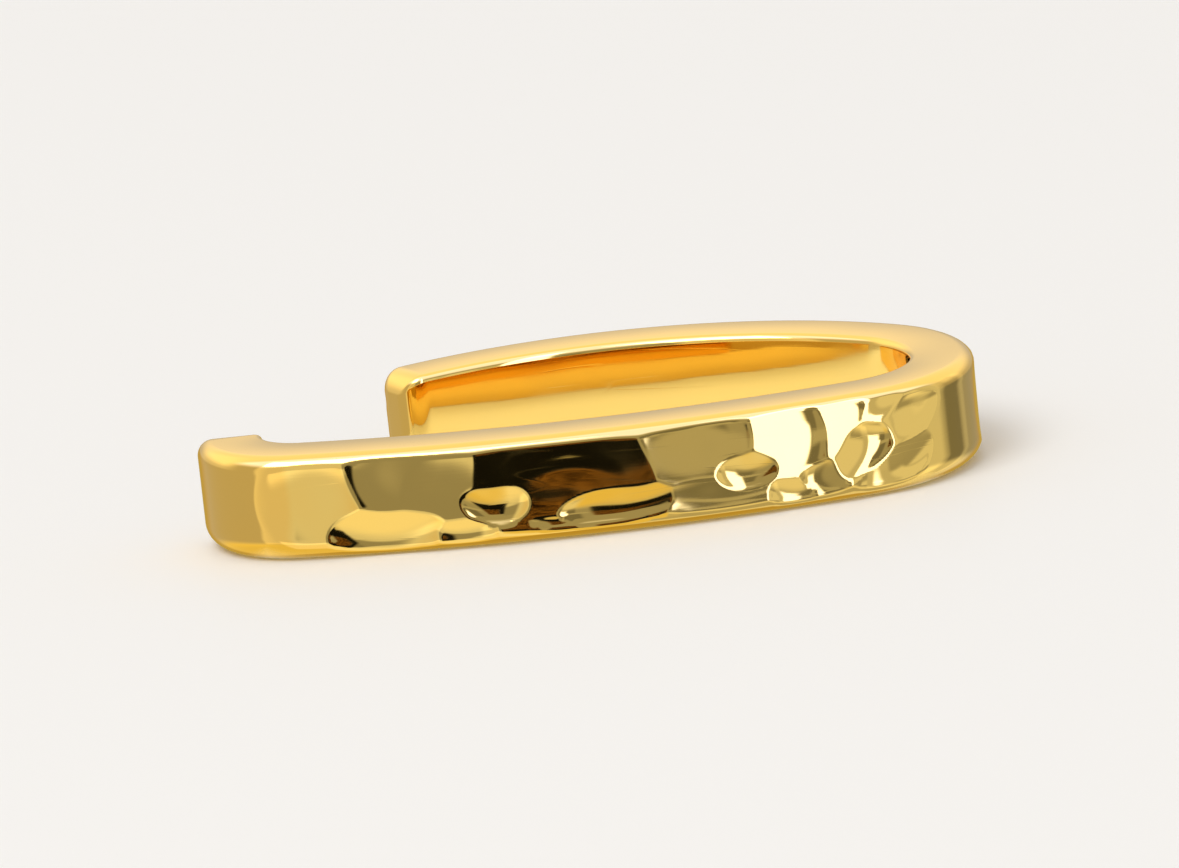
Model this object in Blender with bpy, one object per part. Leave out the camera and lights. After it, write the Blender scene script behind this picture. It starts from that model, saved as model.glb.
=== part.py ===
"""A hammered gold ear cuff: one strip of metal, dented along its outer face and bent into an open D.

Metres, +Z up. The cuff lies on its lower rim, with the origin under the middle of its box.
The front arm faces -Y. From the front tip, at -X, the strip bends forwards, runs along the front,
turns back round the bend at +X and follows the rear arm to the rear tip. The rim of an ear slips in
through the gap between the two tips.
"""

import math

import bmesh
import bpy
from mathutils import Matrix, Vector

MM = 0.001

# Driving sizes of the bent cuff
CUFF_LENGTH = 13.0 * MM
CUFF_DEPTH = 6.85 * MM
BAND_HEIGHT = 1.8 * MM
BAND_THICKNESS = 1.1 * MM

# Radii of the strip's middle line, seen from above
FRONT_BOW_RADIUS = 21.6 * MM
FRONT_TIP_BEND_RADIUS = 1.35 * MM
SIDE_BEND_RADIUS = 1.8 * MM
SHOULDER_RADIUS = 2.4 * MM

# Where the strip starts and stops: the front tip's turn is measured from the cuff's side,
# and the rear arm is measured from the point where it is farthest back
FRONT_TIP_OVERTURN = math.radians(15.0)
REAR_CREST_OFFSET = 0.4 * MM
REAR_ARM_REACH = 3.6 * MM

# Rounding of the strip's edges
OUTER_TOP_EDGE = 0.26 * MM
OUTER_LOWER_EDGE = 0.40 * MM
INNER_EDGE = 0.12 * MM
TIP_ROUNDING = 0.40 * MM
EDGE_STEPS = 4

# Hammer marks. A flatness of 1 makes each mark a plain bowl, and more makes its floor flatter
MARK_DEPTH = 0.055 * MM
MARK_HOLLOW = 0.0155 * MM
MARK_FLATNESS = 2.0
MARK_REPEAT = 12.4 * MM
MARK_RUNS = 2

# Columns: along and across are the mark's middle, as shares of the cuff's length from the middle of
# the front and of the band's height from the lower rim; half_length and half_height are the reach over
# which the mark's floor rises by the mark hollow, as shares of the band's height, and slant is how many
# degrees its length climbs towards +X; depth is a share of the mark depth; turn and lean are how many
# degrees the mark's floor faces towards +X and upwards
MARKS = (
    # along, across, half_length, half_height, slant, depth, turn, lean
    (-0.352, 0.58, 0.38, 0.38, 0, 0.62, 0.0, 0.0),
    (-0.262, 0.39, 0.41, 0.24, 0, 0.95, 0.5, -12.0),
    (-0.186, 0.29, 0.32, 0.14, -10, 0.95, 0.0, -12.0),
    (-0.234, 0.76, 0.42, 0.36, -10, 0.84, -1.0, 0.0),
    (-0.186, 0.62, 0.42, 0.38, -20, 0.84, -0.5, -1.0),
    (-0.133, 0.55, 0.27, 0.19, -14, 1.10, 2.0, -11.0),
    (-0.047, 0.70, 0.70, 0.44, 0, 1.00, 0.0, -2.0),
    (-0.033, 0.46, 0.50, 0.29, 0, 1.09, 0.0, 2.0),
    (0.056, 0.385, 0.47, 0.15, 8, 1.09, -3.5, -10.0),
    (-0.055, 0.27, 0.30, 0.10, -6, 0.98, 0.0, -14.0),
    (0.122, 0.72, 0.44, 0.38, 0, 0.92, 1.5, 1.0),
    (0.168, 0.31, 0.50, 0.17, 0, 0.94, -0.5, -2.5),
    (0.218, 0.72, 0.38, 0.38, 0, 0.91, 4.2, 0.0),
    (0.201, 0.58, 0.26, 0.18, 15, 0.94, -2.0, -11.0),
    (0.291, 0.74, 0.34, 0.26, 35, 0.96, 3.0, 1.0),
    (0.252, 0.31, 0.22, 0.18, 0, 0.96, -1.0, -12.0),
    (0.298, 0.29, 0.22, 0.18, 0, 0.95, -7.0, -4.0),
    (0.312, 0.48, 0.26, 0.20, 25, 0.95, 10.0, -1.5),
    (0.350, 0.90, 0.26, 0.16, 30, 0.94, 3.0, -3.0),
    (0.378, 0.67, 0.28, 0.16, 35, 0.94, 2.0, 1.0),
    (0.376, 0.37, 0.33, 0.18, 45, 0.92, -1.0, -5.0),
    (0.545, 0.58, 0.30, 0.46, 0, 0.72, 2.0, -1.0),
)

# Fineness of the faceted solid
STATION_SPACING = 0.2 * MM
TIP_STATIONS = 4
OUTER_FACE_ROWS = 8


def clear_scene():
    for thing in list(bpy.data.objects):
        bpy.data.objects.remove(thing)


def middle_line():
    """The strip's middle line seen from above, as arcs that all turn the same way.

    Each arc is (centre, radius, heading where it starts, turn). It runs from the front tip to the
    rear tip, with the front arm nearest at y = 0 and x = 0.
    """
    half_length = (CUFF_LENGTH - BAND_THICKNESS) / 2
    depth = CUFF_DEPTH - BAND_THICKNESS

    def end_bend(radius, side):
        """Centre of a bend that touches the front bow and the cuff's side, and its angle on the bow."""
        x = half_length - radius
        y = FRONT_BOW_RADIUS - math.sqrt((FRONT_BOW_RADIUS - radius) ** 2 - x**2)
        return Vector((side * x, y)), math.asin(x / (FRONT_BOW_RADIUS - radius))

    tip_centre, tip_angle = end_bend(FRONT_TIP_BEND_RADIUS, -1)
    side_centre, side_angle = end_bend(SIDE_BEND_RADIUS, 1)

    # The shoulder leaves the cuff's side at the bend's height, and hands over to the flatter rear
    # arc where both point the same way
    across = half_length - REAR_CREST_OFFSET - SHOULDER_RADIUS
    behind = depth - side_centre.y - SHOULDER_RADIUS
    shoulder_turn = math.pi / 2 - 2 * math.atan(behind / across)
    rear_radius = SHOULDER_RADIUS + across / math.cos(shoulder_turn)
    shoulder_centre = Vector((half_length - SHOULDER_RADIUS, side_centre.y))
    rear_centre = Vector((REAR_CREST_OFFSET, depth - rear_radius))
    past_crest = math.asin(REAR_ARM_REACH / rear_radius)

    quarter = math.pi / 2
    tip_turn = quarter + FRONT_TIP_OVERTURN - tip_angle
    return (
        (tip_centre, FRONT_TIP_BEND_RADIUS, -quarter - FRONT_TIP_OVERTURN, tip_turn),
        (Vector((0, FRONT_BOW_RADIUS)), FRONT_BOW_RADIUS, -tip_angle, tip_angle + side_angle),
        (side_centre, SIDE_BEND_RADIUS, side_angle, quarter - side_angle),
        (shoulder_centre, SHOULDER_RADIUS, quarter, shoulder_turn),
        (rear_centre, rear_radius, quarter + shoulder_turn, quarter - shoulder_turn + past_crest),
    )


def strip_length(arcs):
    return sum(radius * turn for _, radius, _, turn in arcs)


def front_middle(arcs):
    """How far along the strip the middle of the front lies."""
    _, tip_radius, _, tip_turn = arcs[0]
    _, bow_radius, bow_heading, _ = arcs[1]
    return tip_radius * tip_turn - bow_radius * bow_heading


def place(arcs, along, out, up):
    """The bent place of a point of the straight strip: out is measured from the middle line."""
    for centre, radius, heading, turn in arcs:
        if along <= radius * turn:
            break
        along -= radius * turn
    else:
        along += radius * turn
    heading += along / radius
    reach = radius + out
    x = centre.x + reach * math.sin(heading)
    y = centre.y - reach * math.cos(heading)
    return Vector((x, y - (CUFF_DEPTH - BAND_THICKNESS) / 2, up))


def hammered_depth(along, up):
    """How deep the hammer has pressed in the outer face, with along measured from the front's middle."""
    deepest = -BAND_THICKNESS
    for run in range(MARK_RUNS):
        for share_along, share_up, half_length, half_height, slant, depth, turn, lean in MARKS:
            from_left = along - share_along * CUFF_LENGTH - run * MARK_REPEAT
            from_below = up - share_up * BAND_HEIGHT
            climb, reach = math.sin(math.radians(slant)), math.cos(math.radians(slant))
            lengthwise = (from_left * reach + from_below * climb) / half_length
            crosswise = (from_below * reach - from_left * climb) / half_height
            bowl = (lengthwise**2 + crosswise**2) / BAND_HEIGHT**2
            tilt = math.tan(math.radians(lean)) * from_below + math.tan(math.radians(turn)) * from_left
            pressed = depth * MARK_DEPTH - bowl**MARK_FLATNESS * MARK_HOLLOW + tilt
            deepest = max(deepest, pressed)
    return deepest


def long_edges(bm, outer, upper):
    """The strip's long edges on one side (outer or inner) of one rim (upper or lower)."""
    chosen = []
    for edge in bm.edges:
        start, end = (vert.co for vert in edge.verts)
        lengthwise = abs(start.x - end.x) > BAND_THICKNESS
        if lengthwise and (start.y < 0) == outer and (start.z > BAND_HEIGHT / 2) == upper:
            chosen.append(edge)
    return chosen


def straight_strip(length):
    """The rounded bar before it is hammered and bent: along X, its outer face towards -Y."""
    bm = bmesh.new()
    size = Matrix.Diagonal((length, BAND_THICKNESS, BAND_HEIGHT, 1))
    middle = Matrix.Translation((length / 2, 0, BAND_HEIGHT / 2))
    bmesh.ops.create_cube(bm, size=1, matrix=middle @ size)
    for outer, upper, rounding in (
        (True, True, OUTER_TOP_EDGE),
        (True, False, OUTER_LOWER_EDGE),
        (False, True, INNER_EDGE),
        (False, False, INNER_EDGE),
    ):
        bmesh.ops.bevel(
            bm,
            geom=long_edges(bm, outer, upper),
            offset=rounding,
            offset_type="OFFSET",
            segments=EDGE_STEPS,
            profile=0.5,
            affect="EDGES",
            material=-1,
        )
    return bm


def add_rows(bm):
    """Splits the outer face into rows, so that the marks show across the band."""
    outermost = -BAND_THICKNESS / 2
    uprights = []
    for edge in bm.edges:
        start, end = (vert.co for vert in edge.verts)
        flush = max(abs(start.y - outermost), abs(end.y - outermost)) < BAND_THICKNESS * 1e-4
        if flush and abs(start.z - end.z) > BAND_HEIGHT / 4:
            uprights.append(edge)
    bmesh.ops.subdivide_edges(bm, edges=uprights, cuts=OUTER_FACE_ROWS - 1)


def stations(length):
    """Where the strip is split across: evenly, and closer together where a tip rounds off."""
    places = []
    for step in range(1, TIP_STATIONS + 1):
        inward = TIP_ROUNDING * (1 - math.cos(math.pi / 2 * step / TIP_STATIONS))
        places += [inward, length - inward]
    plain = length - 2 * TIP_ROUNDING
    count = round(plain / STATION_SPACING)
    places += [TIP_ROUNDING + plain * step / count for step in range(1, count)]
    return places


def add_stations(bm, length):
    for place_along in stations(length):
        everything = list(bm.verts) + list(bm.edges) + list(bm.faces)
        bmesh.ops.bisect_plane(bm, geom=everything, plane_co=(place_along, 0, 0), plane_no=(1, 0, 0))


def tip_shrink(along, length):
    """How much each side of the section draws in where a tip rounds off."""
    from_end = max(min(along, length - along), 0.0)
    if from_end >= TIP_ROUNDING:
        return 0.0
    return TIP_ROUNDING - math.sqrt(TIP_ROUNDING**2 - (TIP_ROUNDING - from_end) ** 2)


def shape_strip(bm, arcs):
    """Hammers the outer face, rounds the tips and bends the strip round its middle line."""
    length = strip_length(arcs)
    middle = front_middle(arcs)
    for vert in bm.verts:
        along, out, up = vert.co.x, -vert.co.y, vert.co.z
        if out > 0:
            out = min(out, BAND_THICKNESS / 2 - hammered_depth(along - middle, up))
        shrink = tip_shrink(along, length)
        out *= 1 - shrink / (BAND_THICKNESS / 2)
        up = BAND_HEIGHT / 2 + (up - BAND_HEIGHT / 2) * (1 - shrink / (BAND_HEIGHT / 2))
        vert.co = place(arcs, along, out, up)


def gold():
    material = bpy.data.materials.new("polished_gold")
    material.use_nodes = True
    surface = material.node_tree.nodes["Principled BSDF"]
    surface.inputs["Base Color"].default_value = (0.84, 0.57, 0.17, 1.0)
    surface.inputs["Metallic"].default_value = 1.0
    surface.inputs["Roughness"].default_value = 0.12
    return material


def make_cuff_band(collection):
    arcs = middle_line()
    length = strip_length(arcs)
    bm = straight_strip(length)
    add_rows(bm)
    add_stations(bm, length)
    shape_strip(bm, arcs)
    bmesh.ops.recalc_face_normals(bm, faces=bm.faces)
    mesh = bpy.data.meshes.new("cuff_band")
    bm.to_mesh(mesh)
    bm.free()
    mesh.shade_smooth()
    mesh.set_sharp_from_angle(angle=math.radians(40))
    mesh.materials.append(gold())
    band = bpy.data.objects.new("cuff_band", mesh)
    collection.objects.link(band)


def main():
    clear_scene()
    collection = bpy.data.collections.new("ear_cuff")
    bpy.context.scene.collection.children.link(collection)
    make_cuff_band(collection)


main()
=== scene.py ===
"""A hammered gold ear cuff lying on its lower rim on a pale tabletop, in soft studio light.

The band is one fine mesh: a straight bar with rounded edges, split into rows and stations, then
hammered, rounded at its tips and bent. Metres, +Z up, the front arm facing -Y.
"""

import math

import bmesh
import bpy
from mathutils import Matrix, Vector


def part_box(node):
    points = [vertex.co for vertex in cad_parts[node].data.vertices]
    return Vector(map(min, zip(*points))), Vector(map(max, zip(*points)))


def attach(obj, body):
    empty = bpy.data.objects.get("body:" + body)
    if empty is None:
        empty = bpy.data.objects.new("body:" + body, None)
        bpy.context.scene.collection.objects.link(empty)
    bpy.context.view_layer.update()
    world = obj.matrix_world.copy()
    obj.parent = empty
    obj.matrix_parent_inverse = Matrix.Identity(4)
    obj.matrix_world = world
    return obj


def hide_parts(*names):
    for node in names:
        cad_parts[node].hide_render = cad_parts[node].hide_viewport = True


MM = 0.001

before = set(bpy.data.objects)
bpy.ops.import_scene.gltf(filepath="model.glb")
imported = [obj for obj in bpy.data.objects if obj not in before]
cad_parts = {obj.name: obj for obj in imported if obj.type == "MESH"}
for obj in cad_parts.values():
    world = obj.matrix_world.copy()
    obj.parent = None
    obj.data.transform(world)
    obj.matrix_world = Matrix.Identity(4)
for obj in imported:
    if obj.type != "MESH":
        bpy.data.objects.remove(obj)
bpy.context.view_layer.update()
LOWEST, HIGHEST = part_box("cuff_band")

# Sizes of the band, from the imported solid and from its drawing
CUFF_LENGTH = 13.0 * MM
CUFF_DEPTH = 6.85 * MM
BAND_HEIGHT = HIGHEST.z - LOWEST.z
BAND_THICKNESS = 1.1 * MM
FRONT_BOW_RADIUS = 21.6 * MM
FRONT_TIP_BEND_RADIUS = 1.35 * MM
SIDE_BEND_RADIUS = 1.8 * MM
SHOULDER_RADIUS = 2.4 * MM
FRONT_TIP_OVERTURN = math.radians(15.0)
REAR_CREST_OFFSET = 0.4 * MM
REAR_ARM_REACH = 3.6 * MM
OUTER_TOP_EDGE = 0.26 * MM
OUTER_LOWER_EDGE = 0.40 * MM
INNER_EDGE = 0.12 * MM
TIP_ROUNDING = 0.40 * MM

# Hammer marks. A flatness of 1 makes each mark a plain bowl, and more makes its floor flatter
MARK_DEPTH = 0.055 * MM
MARK_HOLLOW = 0.0155 * MM
MARK_FLATNESS = 2.0
MARK_REPEAT = 12.4 * MM
MARK_RUNS = 2
RIDGE_SOFTNESS = 0.009 * MM

# Columns: along and across are the mark's middle, as shares of the cuff's length from the middle of
# the front and of the band's height from the lower rim; half_length and half_height are the reach over
# which the mark's floor rises by the mark hollow, as shares of the band's height, and slant is how many
# degrees its length climbs towards +X; depth is a share of the mark depth; turn and lean are how many
# degrees the mark's floor faces towards +X and upwards
MARKS = (
    # along, across, half_length, half_height, slant, depth, turn, lean
    (-0.352, 0.58, 0.38, 0.38, 0, 0.62, 0.0, 0.0),
    (-0.262, 0.39, 0.41, 0.24, 0, 0.95, 0.5, -12.0),
    (-0.186, 0.29, 0.32, 0.14, -10, 0.95, 0.0, -12.0),
    (-0.234, 0.76, 0.42, 0.36, -10, 0.84, -1.0, 0.0),
    (-0.186, 0.62, 0.42, 0.38, -20, 0.84, -0.5, -1.0),
    (-0.133, 0.55, 0.27, 0.19, -14, 1.10, 2.0, -11.0),
    (-0.047, 0.70, 0.70, 0.44, 0, 1.00, 0.0, -2.0),
    (-0.033, 0.46, 0.50, 0.29, 0, 1.09, 0.0, 2.0),
    (0.056, 0.385, 0.47, 0.15, 8, 1.09, -3.5, -10.0),
    (-0.055, 0.27, 0.30, 0.10, -6, 0.98, 0.0, -14.0),
    (0.122, 0.72, 0.44, 0.38, 0, 0.92, 1.5, 1.0),
    (0.168, 0.31, 0.50, 0.17, 0, 0.94, -0.5, -2.5),
    (0.218, 0.72, 0.38, 0.38, 0, 0.91, 4.2, 0.0),
    (0.201, 0.58, 0.26, 0.18, 15, 0.94, -2.0, -11.0),
    (0.291, 0.74, 0.34, 0.26, 35, 0.96, 3.0, 1.0),
    (0.252, 0.31, 0.22, 0.18, 0, 0.96, -1.0, -12.0),
    (0.298, 0.29, 0.22, 0.18, 0, 0.95, -7.0, -4.0),
    (0.312, 0.48, 0.26, 0.20, 25, 0.95, 10.0, -1.5),
    (0.350, 0.90, 0.26, 0.16, 30, 0.94, 3.0, -3.0),
    (0.378, 0.67, 0.28, 0.16, 35, 0.94, 2.0, 1.0),
    (0.376, 0.37, 0.33, 0.18, 45, 0.92, -1.0, -5.0),
    (0.545, 0.58, 0.30, 0.46, 0, 0.72, 2.0, -1.0),
)

# Fineness of the band's mesh
STATION_SPACING = 0.032 * MM
OUTER_FACE_ROWS = 36
OUTER_EDGE_STEPS = 9
INNER_EDGE_STEPS = 5

# The studio's panels, in degrees to the right of straight in front of the cuff and upwards. Each reaches
# from its left end to its right end and from low to high, with edges that are twice its soft value wide,
# and adds its gain to the studio's brightness
STUDIO_PANELS = (
    # left_end, right_end, low, high, soft, gain
    (-62.0, -21.0, -30.0, 50.0, 3.0, 0.40),
    (-150.0, -55.0, -35.0, 50.0, 12.0, 0.20),
    (10.0, 70.0, -85.0, -46.0, 5.0, -0.38),
    (9.0, 16.0, -30.0, -15.0, 1.2, -0.17),
    (2.0, 13.0, -15.0, -9.5, 1.2, 0.10),
    (6.0, 14.0, -9.5, 12.0, 1.5, -0.18),
    (-21.0, -9.0, -18.0, 10.0, 2.0, -0.05),
    (68.0, 92.0, -50.0, 30.0, 5.0, 0.32),
    (97.0, 116.0, -50.0, 30.0, 2.0, -0.16),
    (119.0, 125.0, -50.0, 30.0, 2.0, 0.12),
    (28.5, 36.0, -40.0, 20.0, 2.0, 0.22),
    (36.0, 46.0, -21.0, 20.0, 2.0, 0.42),
    (47.0, 68.0, -17.0, 20.0, 2.5, 0.40),
)

# The width of the tabletop, and the colours
TABLE_SIZE = 3.0
GOLD = (0.94, 0.62, 0.15, 1.0)
SMUDGED_GOLD = (0.90, 0.61, 0.17, 1.0)
TABLE_WHITE = (0.88, 0.865, 0.84, 1.0)
TABLE_GLOW = (0.60, 0.85, 1.0, 1.0)
BLACK = (0.0, 0.0, 0.0, 1.0)
BACKGROUND_WHITE = (1.0, 0.985, 0.96, 1.0)
WALL_WHITE = (1.0, 1.04, 1.06, 1.0)
LEFT_WALL_CREAM = (1.0, 0.93, 0.78, 1.0)
REAR_CREAM = (1.0, 0.95, 0.86, 1.0)
FLOOR_YELLOW = (1.0, 0.84, 0.32, 1.0)
LOW_REAR_YELLOW = (1.0, 0.74, 0.18, 1.0)
WINDOW_BLUE_WHITE = (1.0, 1.15, 2.2, 1.0)
AMBER = (1.0, 0.5, 0.15, 1.0)

# The view: a long lens 14.5 degrees above the ring, rolled so that the front arm climbs to the right
VIEW_HEIGHT = math.radians(14.5)
VIEW_ROLL = math.radians(6.5)
VIEW_DISTANCE = 0.5
VIEW_WIDTH = 19.6 * MM
SENSOR_WIDTH = 36.0

# Numbers of the mix node's sockets when it mixes colours
MIX_SHARE = 0
MIX_FIRST = 6
MIX_SECOND = 7
MIX_RESULT = 2


class Tone:
    """A value that varies over a surface or the studio. Sums and products of tones become nodes."""

    def __init__(self, finish, socket):
        self.finish = finish
        self.socket = socket

    def worked(self, operation, *others, clamp=False):
        inputs = dict(enumerate((self, *others)))
        return self.finish.tone("ShaderNodeMath", {"operation": operation, "use_clamp": clamp}, inputs)

    def __add__(self, other):
        return self.worked("ADD", other)

    __radd__ = __add__

    def __sub__(self, other):
        return self.worked("SUBTRACT", other)

    def __rsub__(self, other):
        return (self * -1.0) + other

    def __mul__(self, other):
        return self.worked("MULTIPLY", other)

    __rmul__ = __mul__

    def __abs__(self):
        return self.worked("ABSOLUTE")

    def held(self):
        """The tone kept between 0 and 1."""
        return self.worked("ADD", 0.0, clamp=True)

    def above(self, start, end):
        """0 below start, 1 past end and a soft step between."""
        return self.finish.tone(
            "ShaderNodeMapRange",
            {"interpolation_type": "SMOOTHSTEP"},
            {"Value": self, "From Min": start, "From Max": end, "To Min": 0.0, "To Max": 1.0},
            "Result",
        )


class Finish:
    """The node tree of one finish or of the studio."""

    def __init__(self, tree):
        self.tree = tree
        tree.nodes.clear()

    def node(self, kind, settings=None, inputs=None):
        made = self.tree.nodes.new(kind)
        for name, value in (settings or {}).items():
            setattr(made, name, value)
        for name, value in (inputs or {}).items():
            if isinstance(value, Tone):
                value = value.socket
            if isinstance(value, bpy.types.NodeSocket):
                self.tree.links.new(value, made.inputs[name])
            else:
                made.inputs[name].default_value = value
        return made

    def tone(self, kind, settings=None, inputs=None, output=0):
        return Tone(self, self.node(kind, settings, inputs).outputs[output])

    def mix(self, share, first, second):
        """A colour that goes from the first to the second as the share goes from 0 to 1."""
        sockets = {MIX_SHARE: share, MIX_FIRST: first, MIX_SECOND: second}
        return self.node("ShaderNodeMix", {"data_type": "RGBA"}, sockets).outputs[MIX_RESULT]


# The band


def middle_line():
    """The bar's middle line seen from above, as arcs that all turn the same way.

    Each arc is (centre, radius, heading where it starts, turn). It runs from the front tip to the
    rear tip, with the front arm nearest at y = 0 and x = 0.
    """
    half_length = (CUFF_LENGTH - BAND_THICKNESS) / 2
    depth = CUFF_DEPTH - BAND_THICKNESS

    def end_bend(radius, side):
        """Centre of a bend that touches the front bow and the cuff's side, and its angle on the bow."""
        x = half_length - radius
        y = FRONT_BOW_RADIUS - math.sqrt((FRONT_BOW_RADIUS - radius) ** 2 - x**2)
        return Vector((side * x, y)), math.asin(x / (FRONT_BOW_RADIUS - radius))

    tip_centre, tip_angle = end_bend(FRONT_TIP_BEND_RADIUS, -1)
    side_centre, side_angle = end_bend(SIDE_BEND_RADIUS, 1)

    # The shoulder hands over to the flatter rear arc where both point the same way
    across = half_length - REAR_CREST_OFFSET - SHOULDER_RADIUS
    behind = depth - side_centre.y - SHOULDER_RADIUS
    shoulder_turn = math.pi / 2 - 2 * math.atan(behind / across)
    rear_radius = SHOULDER_RADIUS + across / math.cos(shoulder_turn)
    shoulder_centre = Vector((half_length - SHOULDER_RADIUS, side_centre.y))
    rear_centre = Vector((REAR_CREST_OFFSET, depth - rear_radius))
    past_crest = math.asin(REAR_ARM_REACH / rear_radius)

    quarter = math.pi / 2
    tip_turn = quarter + FRONT_TIP_OVERTURN - tip_angle
    return (
        (tip_centre, FRONT_TIP_BEND_RADIUS, -quarter - FRONT_TIP_OVERTURN, tip_turn),
        (Vector((0, FRONT_BOW_RADIUS)), FRONT_BOW_RADIUS, -tip_angle, tip_angle + side_angle),
        (side_centre, SIDE_BEND_RADIUS, side_angle, quarter - side_angle),
        (shoulder_centre, SHOULDER_RADIUS, quarter, shoulder_turn),
        (rear_centre, rear_radius, quarter + shoulder_turn, quarter - shoulder_turn + past_crest),
    )


def bar_length(arcs):
    return sum(radius * turn for _, radius, _, turn in arcs)


def front_middle(arcs):
    """How far along the bar the middle of the front lies."""
    _, tip_radius, _, tip_turn = arcs[0]
    _, bow_radius, bow_heading, _ = arcs[1]
    return tip_radius * tip_turn - bow_radius * bow_heading


def place(arcs, along, out, up):
    """The bent place of a point of the straight bar: out is measured from the middle line."""
    for centre, radius, heading, turn in arcs:
        if along <= radius * turn:
            break
        along -= radius * turn
    else:
        along += radius * turn
    heading += along / radius
    reach = radius + out
    x = centre.x + reach * math.sin(heading)
    y = centre.y - reach * math.cos(heading)
    return Vector((x, y - (CUFF_DEPTH - BAND_THICKNESS) / 2, up))


def softer_max(first, second, softness):
    """The greater of two heights, with the crease between them rounded over."""
    gap = max(softness - abs(first - second), 0.0) / softness
    return max(first, second) + gap * gap * softness / 4


def hammered_depth(along, up):
    """How deep the hammer has pressed in the outer face, with along measured from the front's middle."""
    deepest = -BAND_THICKNESS
    for run in range(MARK_RUNS):
        for share_along, share_up, half_length, half_height, slant, depth, turn, lean in MARKS:
            from_left = along - share_along * CUFF_LENGTH - run * MARK_REPEAT
            if abs(from_left) > 2 * BAND_HEIGHT:
                continue
            from_below = up - share_up * BAND_HEIGHT
            climb, reach = math.sin(math.radians(slant)), math.cos(math.radians(slant))
            lengthwise = (from_left * reach + from_below * climb) / half_length
            crosswise = (from_below * reach - from_left * climb) / half_height
            bowl = (lengthwise**2 + crosswise**2) / BAND_HEIGHT**2
            tilt = math.tan(math.radians(lean)) * from_below + math.tan(math.radians(turn)) * from_left
            pressed = depth * MARK_DEPTH - bowl**MARK_FLATNESS * MARK_HOLLOW + tilt
            deepest = softer_max(deepest, pressed, RIDGE_SOFTNESS)
    return deepest


def long_edges(bm, outer, upper):
    """The bar's long edges on one side (outer or inner) of one rim (upper or lower)."""
    chosen = []
    for edge in bm.edges:
        start, end = (vert.co for vert in edge.verts)
        lengthwise = abs(start.x - end.x) > BAND_THICKNESS
        if lengthwise and (start.y < 0) == outer and (start.z > BAND_HEIGHT / 2) == upper:
            chosen.append(edge)
    return chosen


def straight_bar(length):
    """The rounded bar before it is hammered and bent: along X, its outer face towards -Y."""
    bm = bmesh.new()
    size = Matrix.Diagonal((length, BAND_THICKNESS, BAND_HEIGHT, 1))
    middle = Matrix.Translation((length / 2, 0, BAND_HEIGHT / 2))
    bmesh.ops.create_cube(bm, size=1, matrix=middle @ size)
    for outer, upper, rounding, steps in (
        (True, True, OUTER_TOP_EDGE, OUTER_EDGE_STEPS),
        (True, False, OUTER_LOWER_EDGE, OUTER_EDGE_STEPS),
        (False, True, INNER_EDGE, INNER_EDGE_STEPS),
        (False, False, INNER_EDGE, INNER_EDGE_STEPS),
    ):
        bmesh.ops.bevel(
            bm,
            geom=long_edges(bm, outer, upper),
            offset=rounding,
            offset_type="OFFSET",
            segments=steps,
            profile=0.5,
            affect="EDGES",
            material=-1,
        )
    return bm


def add_rows(bm):
    """Splits the outer face into rows, so that the marks show across the band."""
    outermost = -BAND_THICKNESS / 2
    uprights = []
    for edge in bm.edges:
        start, end = (vert.co for vert in edge.verts)
        flush = max(abs(start.y - outermost), abs(end.y - outermost)) < BAND_THICKNESS * 1e-4
        if flush and abs(start.z - end.z) > BAND_HEIGHT / 4:
            uprights.append(edge)
    bmesh.ops.subdivide_edges(bm, edges=uprights, cuts=OUTER_FACE_ROWS - 1)


def add_stations(bm, length):
    """Splits the bar across, evenly."""
    lengthwise = [edge for edge in bm.edges if abs(edge.verts[0].co.x - edge.verts[1].co.x) > length / 2]
    bmesh.ops.subdivide_edges(bm, edges=lengthwise, cuts=round(length / STATION_SPACING))


def gathered(along, length):
    """Moves the stations near a tip closer to it, so that its rounding is smooth."""
    from_end = min(along, length - along)
    if from_end >= TIP_ROUNDING:
        return along
    inward = TIP_ROUNDING * (1 - math.cos(math.pi / 2 * max(from_end, 0.0) / TIP_ROUNDING))
    return inward if along < length / 2 else length - inward


def tip_shrink(along, length):
    """How much each side of the section draws in where a tip rounds off."""
    from_end = max(min(along, length - along), 0.0)
    if from_end >= TIP_ROUNDING:
        return 0.0
    return TIP_ROUNDING - math.sqrt(TIP_ROUNDING**2 - (TIP_ROUNDING - from_end) ** 2)


def shape_bar(bm, arcs):
    """Hammers the outer face, rounds the tips and bends the bar round its middle line.

    Each corner of a face keeps, as its UV, its place along the bar and round its section.
    """
    length = bar_length(arcs)
    middle = front_middle(arcs)
    unrolled = {}
    for vert in bm.verts:
        along, out, up = gathered(vert.co.x, length), -vert.co.y, vert.co.z
        unrolled[vert] = (along, up + out)
        if out > 0:
            cut = BAND_THICKNESS / 2 - hammered_depth(along - middle, up)
            out = -softer_max(-out, -cut, RIDGE_SOFTNESS)
        shrink = tip_shrink(along, length)
        out *= 1 - shrink / (BAND_THICKNESS / 2)
        up = BAND_HEIGHT / 2 + (up - BAND_HEIGHT / 2) * (1 - shrink / (BAND_HEIGHT / 2))
        vert.co = place(arcs, along, out, up)
    layer = bm.loops.layers.uv.new("unrolled")
    for face in bm.faces:
        for loop in face.loops:
            loop[layer].uv = unrolled[loop.vert]


def make_cuff_band():
    arcs = middle_line()
    length = bar_length(arcs)
    bm = straight_bar(length)
    add_rows(bm)
    add_stations(bm, length)
    shape_bar(bm, arcs)
    bmesh.ops.recalc_face_normals(bm, faces=bm.faces)
    mesh = bpy.data.meshes.new("polished_band")
    bm.to_mesh(mesh)
    bm.free()
    mesh.shade_smooth()
    mesh.materials.append(polished_gold())
    band = bpy.data.objects.new("polished_band", mesh)
    bpy.context.scene.collection.objects.link(band)
    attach(band, "root")
    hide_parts("cuff_band")


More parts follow.
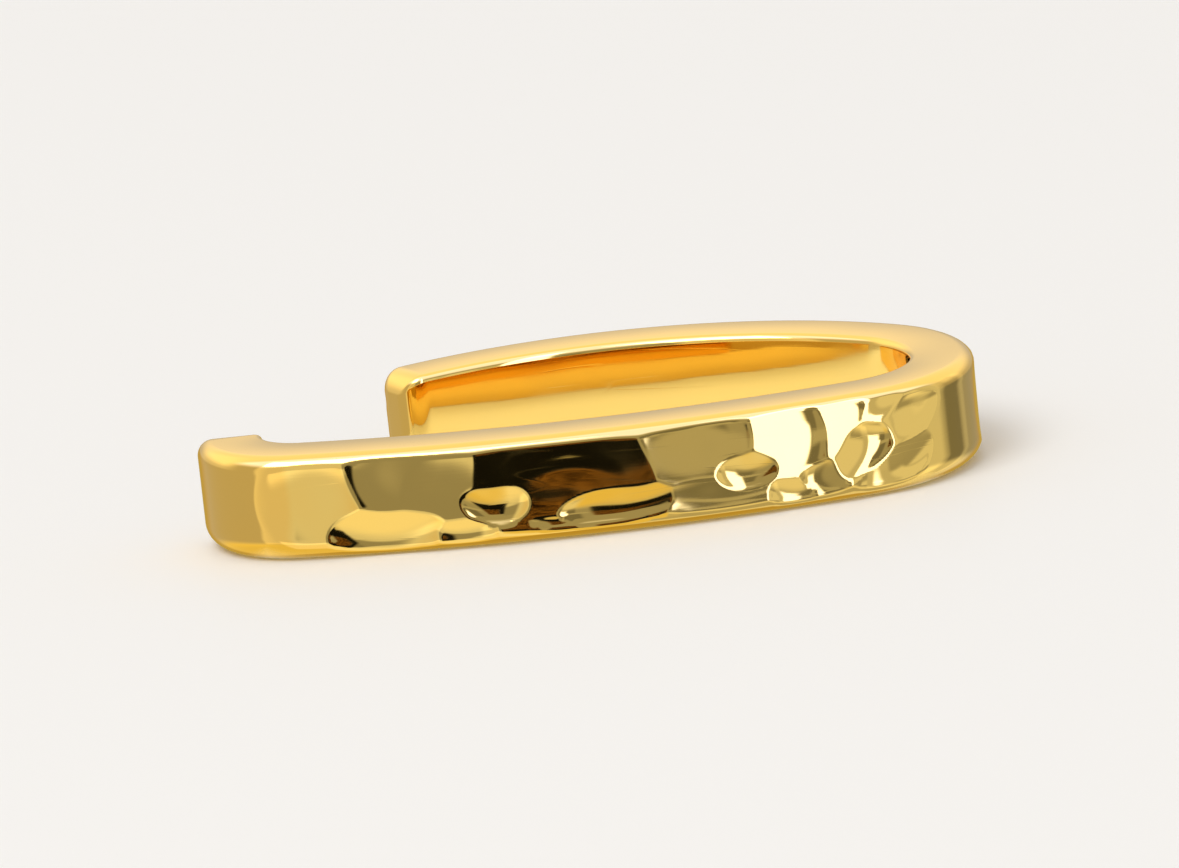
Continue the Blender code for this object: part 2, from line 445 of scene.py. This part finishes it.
def polished_gold():
    """Yellow gold plate, polished by hand: faint lines along the band, scratches and soft smudges."""
    material = bpy.data.materials.new("polished_gold")
    material.use_nodes = True
    finish = Finish(material.node_tree)
    places = finish.node("ShaderNodeTexCoord")
    unrolled = finish.node("ShaderNodeUVMap", {"uv_map": "unrolled"})

    def grain(where, size, detail, stretch=(1.0, 1.0, 1.0), turn=0.0):
        """A soft uneven pattern about as coarse as size, in metres."""
        laid = finish.node(
            "ShaderNodeMapping", None,
            {"Vector": where, "Rotation": (0.0, 0.0, math.radians(turn)), "Scale": stretch},
        )
        return finish.tone(
            "ShaderNodeTexNoise", None,
            {"Vector": laid.outputs[0], "Scale": 1 / size, "Detail": detail, "Roughness": 0.5},
        )

    def scratches(size, stretch, turn, width):
        """1 on thin broken lines and 0 between them."""
        line = 1 - abs(grain(unrolled.outputs[0], size, 0.0, stretch, turn) - 0.5).above(0.0, width)
        broken = grain(unrolled.outputs[0], size * 4, 1.0).above(0.52, 0.60)
        return line * broken

    smudges = grain(places.outputs["Object"], 1.3 * MM, 3.0)
    waves = grain(places.outputs["Object"], 1.1 * MM, 0.0)
    lines = grain(unrolled.outputs[0], 0.035 * MM, 2.0, (0.02, 1.0, 1.0))
    scratch = scratches(0.45 * MM, (0.12, 1.0, 1.0), 24.0, 0.012)
    scratch = scratch + scratches(0.60 * MM, (0.10, 1.0, 1.0), -38.0, 0.010)

    wavy = finish.node(
        "ShaderNodeBump", None,
        {"Strength": 1.0, "Distance": 0.005 * MM, "Height": waves},
    )
    relief = lines * 0.6 - scratch
    brushed = finish.node(
        "ShaderNodeBump", None,
        {"Strength": 0.35, "Distance": 0.0006 * MM, "Height": relief, "Normal": wavy.outputs[0]},
    )
    roughness = smudges.above(0.40, 0.75) * 0.05 + scratch * 0.06 + lines * 0.02 + 0.03
    surface = finish.node(
        "ShaderNodeBsdfPrincipled", None,
        {
            "Base Color": finish.mix(smudges, GOLD, SMUDGED_GOLD),
            "Metallic": 1.0,
            "Roughness": roughness,
            "Normal": brushed.outputs[0],
        },
    )
    finish.node("ShaderNodeOutputMaterial", None, {"Surface": surface.outputs[0]})
    return material


# The studio


def make_table():
    """The pale tabletop. The metal mirrors it only inside the ring, a little brighter than it is.

    Past the ring it is clear to the metal, which mirrors the studio's floor there.
    """
    bm = bmesh.new()
    bmesh.ops.create_grid(bm, x_segments=1, y_segments=1, size=TABLE_SIZE / 2)
    mesh = bpy.data.meshes.new("tabletop")
    bm.to_mesh(mesh)
    bm.free()
    material = bpy.data.materials.new("pale_tabletop")
    material.use_nodes = True
    finish = Finish(material.node_tree)
    places = finish.node("ShaderNodeTexCoord")
    parts = finish.node("ShaderNodeSeparateXYZ", None, {"Vector": places.outputs["Object"]})
    right, back, _ = (Tone(finish, socket) for socket in parts.outputs)
    past_side = abs(right) - (CUFF_LENGTH / 2 - BAND_THICKNESS)
    past_arm = abs(back) - (CUFF_DEPTH / 2 - BAND_THICKNESS)
    outside = past_side.worked("MAXIMUM", past_arm).above(0.0, BAND_THICKNESS / 2)
    path = finish.node("ShaderNodeLightPath")
    mirrored = Tone(finish, path.outputs["Is Glossy Ray"])
    surface = finish.node(
        "ShaderNodeBsdfPrincipled", None,
        {
            "Base Color": TABLE_WHITE,
            "Roughness": 0.6,
            "Specular IOR Level": 0.15,
            "Emission Color": finish.mix(mirrored, BLACK, TABLE_GLOW),
            "Emission Strength": 0.35,
        },
    )
    clear = finish.node("ShaderNodeBsdfTransparent")
    shown = finish.node(
        "ShaderNodeMixShader", None,
        {0: outside * mirrored, 1: surface.outputs[0], 2: clear.outputs[0]},
    )
    finish.node("ShaderNodeOutputMaterial", None, {"Surface": shown.outputs[0]})
    mesh.materials.append(material)
    table = bpy.data.objects.new("tabletop", mesh)
    bpy.context.scene.collection.objects.link(table)


def light_studio():
    """The studio that the metal mirrors; the camera sees a plain pale background in its place.

    It is dark where the camera stands, with an amber patch in the dark. It has a white window to the
    right of that, a white ceiling towards the front and warm light from the floor and from behind.
    """
    world = bpy.data.worlds.new("studio")
    bpy.context.scene.world = world
    world.use_nodes = True
    finish = Finish(world.node_tree)
    places = finish.node("ShaderNodeTexCoord")
    parts = finish.node("ShaderNodeSeparateXYZ", None, {"Vector": places.outputs["Generated"]})
    right, back, up = (Tone(finish, socket) for socket in parts.outputs)
    height = up.worked("ARCSINE") * math.degrees(1)
    side = right.worked("ARCTAN2", back * -1.0) * math.degrees(1)

    def between(tone, start, end, soft):
        """1 between two values and 0 outside them, over soft steps."""
        return tone.above(start - soft, start + soft) * (1 - tone.above(end - soft, end + soft))

    def panel(left_end, right_end, low, high, soft):
        """1 on a panel of the studio's wall, placed as in STUDIO_PANELS."""
        return between(side, left_end, right_end, soft) * between(height, low, high, soft)

    # Parts of the studio: 1 within them and 0 outside. Side and height are degrees from the front and
    # from level, and back is 1 straight behind the cuff and -1 in front of it
    level = height.above(-6.0, 2.0)
    rear = back.above(-0.2, 0.3) * level
    rear_glow = back.above(-0.1, 0.3) * height.above(2.0, 26.0)
    low_rear = abs(side).above(135.0, 160.0) * (1 - level)
    ceiling = height.above(24.0, 50.0) * (1 - back.above(-0.05, 0.25))
    floor = (height * -1.0).above(22.0, 36.0)
    lower_left = panel(-40.0, -7.0, -89.0, 0.0, 3.0)
    camera_stand = panel(-9.6, 0.8, -28.0, 2.0, 1.0)
    window = (panel(14.8, 28.5, -17.0, 60.0, 1.2) + panel(17.0, 28.5, -25.0, 60.0, 2.0)).held()
    amber = panel(-6.5, 0.8, -16.5, 2.0, 1.0)
    weave = finish.tone(
        "ShaderNodeTexNoise", None,
        {"Vector": places.outputs["Generated"], "Scale": 75.0, "Detail": 2.0, "Roughness": 0.6},
    )

    # The camera's stand darkens all that is added before it, and so not the window or the amber
    brightness = 0.38 + low_rear * 0.16 + rear * 0.22 + rear_glow * 0.6 + ceiling * 0.85
    brightness += floor * (0.5 + lower_left * 0.18) * (1 - low_rear)
    brightness += panel(-42.0, -9.0, -38.0, -19.0, 2.5) * (1 - floor) * 0.40
    for left_end, right_end, low, high, soft, gain in STUDIO_PANELS:
        brightness += panel(left_end, right_end, low, high, soft) * gain
    brightness = brightness * (1 - camera_stand * 0.98) + window * 1.7
    brightness += amber * weave.above(0.38, 0.62) * 0.24

    left_wall = 1 - side.above(-32.0, -22.0)
    warm_floor = floor * (1 - lower_left * 0.75) * (1 - side.above(5.0, 13.0) * 0.85)
    colour = finish.mix(left_wall, WALL_WHITE, LEFT_WALL_CREAM)
    colour = finish.mix(rear, colour, REAR_CREAM)
    colour = finish.mix(warm_floor, colour, FLOOR_YELLOW)
    colour = finish.mix(low_rear, colour, LOW_REAR_YELLOW)
    colour = finish.mix((window + ceiling).held(), colour, WINDOW_BLUE_WHITE)
    colour = finish.mix(amber, colour, AMBER)

    path = finish.node("ShaderNodeLightPath")
    mirrored = finish.node("ShaderNodeBackground", None, {"Color": colour, "Strength": brightness})
    plain = finish.node("ShaderNodeBackground", None, {"Color": BACKGROUND_WHITE, "Strength": 0.70})
    seen = finish.node(
        "ShaderNodeMixShader", None,
        {0: path.outputs["Is Glossy Ray"], 1: plain.outputs[0], 2: mirrored.outputs[0]},
    )
    finish.node("ShaderNodeOutputWorld", None, {"Surface": seen.outputs[0]})


def add_lamp(name, place_at, width, power):
    """A soft square lamp that faces the cuff."""
    lamp = bpy.data.lights.new(name, "AREA")
    lamp.shape = "SQUARE"
    lamp.size = width
    lamp.energy = power
    lamp_object = bpy.data.objects.new(name, lamp)
    lamp_object.location = place_at
    to_cuff = -Vector(place_at)
    lamp_object.rotation_euler = to_cuff.to_track_quat("-Z", "Y").to_euler()
    bpy.context.scene.collection.objects.link(lamp_object)


def add_camera():
    lens = bpy.data.cameras.new("long_lens")
    lens.sensor_width = SENSOR_WIDTH
    lens.lens = SENSOR_WIDTH * VIEW_DISTANCE / VIEW_WIDTH
    lens.clip_start = VIEW_DISTANCE / 50
    lens.clip_end = VIEW_DISTANCE * 40
    camera = bpy.data.objects.new("camera", lens)
    bpy.context.scene.collection.objects.link(camera)
    bpy.context.scene.camera = camera
    away = Vector((0, -math.cos(VIEW_HEIGHT), math.sin(VIEW_HEIGHT)))
    right = Vector((1, 0, 0))
    above = away.cross(right)
    rolled_right = right * math.cos(VIEW_ROLL) - above * math.sin(VIEW_ROLL)
    rolled_above = above * math.cos(VIEW_ROLL) + right * math.sin(VIEW_ROLL)
    turned = Matrix((rolled_right, rolled_above, away)).transposed().to_4x4()
    turned.translation = Vector((0, 0, BAND_HEIGHT / 2)) + away * VIEW_DISTANCE
    camera.matrix_world = turned


def main():
    make_cuff_band()
    make_table()
    light_studio()
    add_lamp("soft_key", (-0.25, -0.30, 0.55), width=0.4, power=2.0)
    add_camera()
    bpy.context.scene.view_settings.view_transform = "Standard"


main()
